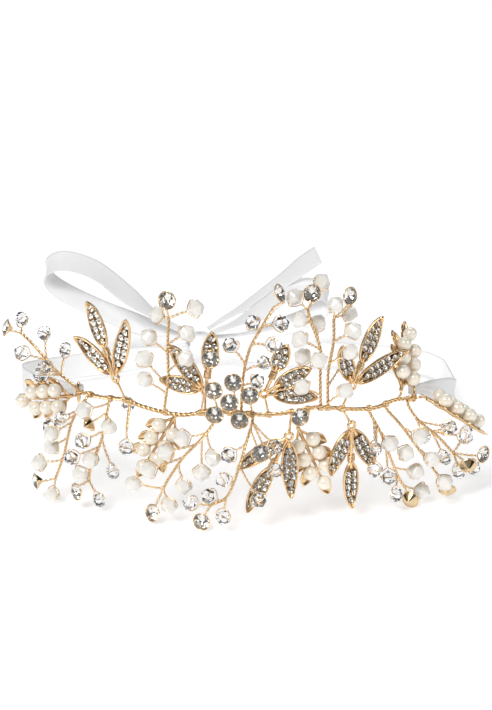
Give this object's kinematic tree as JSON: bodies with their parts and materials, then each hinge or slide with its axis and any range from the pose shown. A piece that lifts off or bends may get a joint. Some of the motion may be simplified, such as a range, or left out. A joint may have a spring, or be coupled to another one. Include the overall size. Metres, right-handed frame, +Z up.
{
  "type": "bridal hair vine",
  "caption": "Bridal hair vine: bent wire band with twisted bead sprigs, pearl and stone-paved leaf sprays, and a satin ribbon tied behind.",
  "frame": {"origin": "on the table, under the middle of the head circle", "axes": "+Z up, the wearer's face side at -Y, the ribbon bow at +Y, +X towards the wearer's left"},
  "size_m": [0.1688, 0.1831, 0.0857],
  "materials": {
    "gold_wire": "bright, gold plated",
    "gold_casting": "bright, gold plated",
    "crystal": "faceted, clear",
    "opal": "faceted, milky",
    "stone": "brilliant cut with a foil back",
    "pearl": "satin pearl coat",
    "satin": "satin weave"
  },
  "bodies": {
    "vine": {"spine_wire": "gold_wire", "end_ring_left": "gold_wire", "end_ring_right": "gold_wire", "flower_wires": "gold_wire", "flower_stones": "stone", "left_end_wires": "gold_wire", "top_left_wires": "gold_wire", "top_middle_wires": "gold_wire", "top_right_wires": "gold_wire", "low_left_outer_wires": "gold_wire", "low_left_inner_wires": "gold_wire", "low_left_middle_wires": "gold_wire", "low_middle_wires": "gold_wire", "low_right_middle_wires": "gold_wire", "low_right_wires": "gold_wire", "right_end_wires": "gold_wire", "left_end_crystals": "crystal", "top_left_opals": "opal", "top_middle_crystals": "crystal", "top_right_opals": "opal", "low_left_outer_opals": "opal", "low_left_inner_opals": "opal", "low_left_outer_crystals": "crystal", "low_left_inner_crystals": "crystal", "low_left_middle_opals": "opal", "low_middle_crystals": "crystal", "low_right_middle_crystals": "crystal", "low_right_middle_opals": "opal", "low_right_opals": "opal", "right_end_crystals": "crystal", "sprig_stones": "stone", "leaf_spray_left": "gold_casting", "leaf_spray_top_left": "gold_casting", "leaf_spray_top_middle": "gold_casting", "leaf_spray_top_right": "gold_casting", "leaf_spray_low_left": "gold_casting", "leaf_spray_low_right": "gold_casting", "leaf_stones_upper": "stone", "leaf_stones_lower": "stone", "leaf_bindings": "gold_wire", "leaf_stems": "gold_wire", "pearl_spray_left": "gold_casting", "pearl_spray_low_left": "gold_casting", "pearl_spray_low_right": "gold_casting", "pearl_spray_right": "gold_casting", "pearl_spray_right_end": "gold_casting", "pearls_left": "pearl", "pearls_low_left": "pearl", "pearls_low_right": "pearl", "pearls_right": "pearl", "pearls_right_end": "pearl"},
    "ribbon": {"ribbon_band_left": "satin", "ribbon_band_right": "satin", "ribbon_knot": "satin", "bow_left": "satin", "bow_right": "satin"},
    "loose_crystal_left_bead": {"loose_crystal_left": "crystal"},
    "loose_crystal_low_bead": {"loose_crystal_low": "crystal"},
    "loose_opal_top_bead": {"loose_opal_top": "opal"}
  },
  "joints": [
    {"name": "ribbon_swing", "type": "hinge", "parent": "vine", "child": "ribbon", "pos_m": [0, -0.0532, 0.038], "axis": [1, 0, 0], "range_deg": [-20, 30]},
    {"name": "loose_crystal_left_spin", "type": "hinge", "parent": "vine", "child": "loose_crystal_left_bead", "pos_m": [-0.03981, -0.07397, 0.0255], "axis": [0.8796, -0.4734, 0.0478], "continuous": true},
    {"name": "loose_crystal_low_spin", "type": "hinge", "parent": "vine", "child": "loose_crystal_low_bead", "pos_m": [-0.04449, -0.0736, 0.017], "axis": [-0.4953, 0.6921, -0.5251], "continuous": true},
    {"name": "loose_opal_top_spin", "type": "hinge", "parent": "vine", "child": "loose_opal_top_bead", "pos_m": [0.0172, -0.08222, 0.073], "axis": [0.7323, -0.649, -0.2061], "continuous": true}
  ]
}
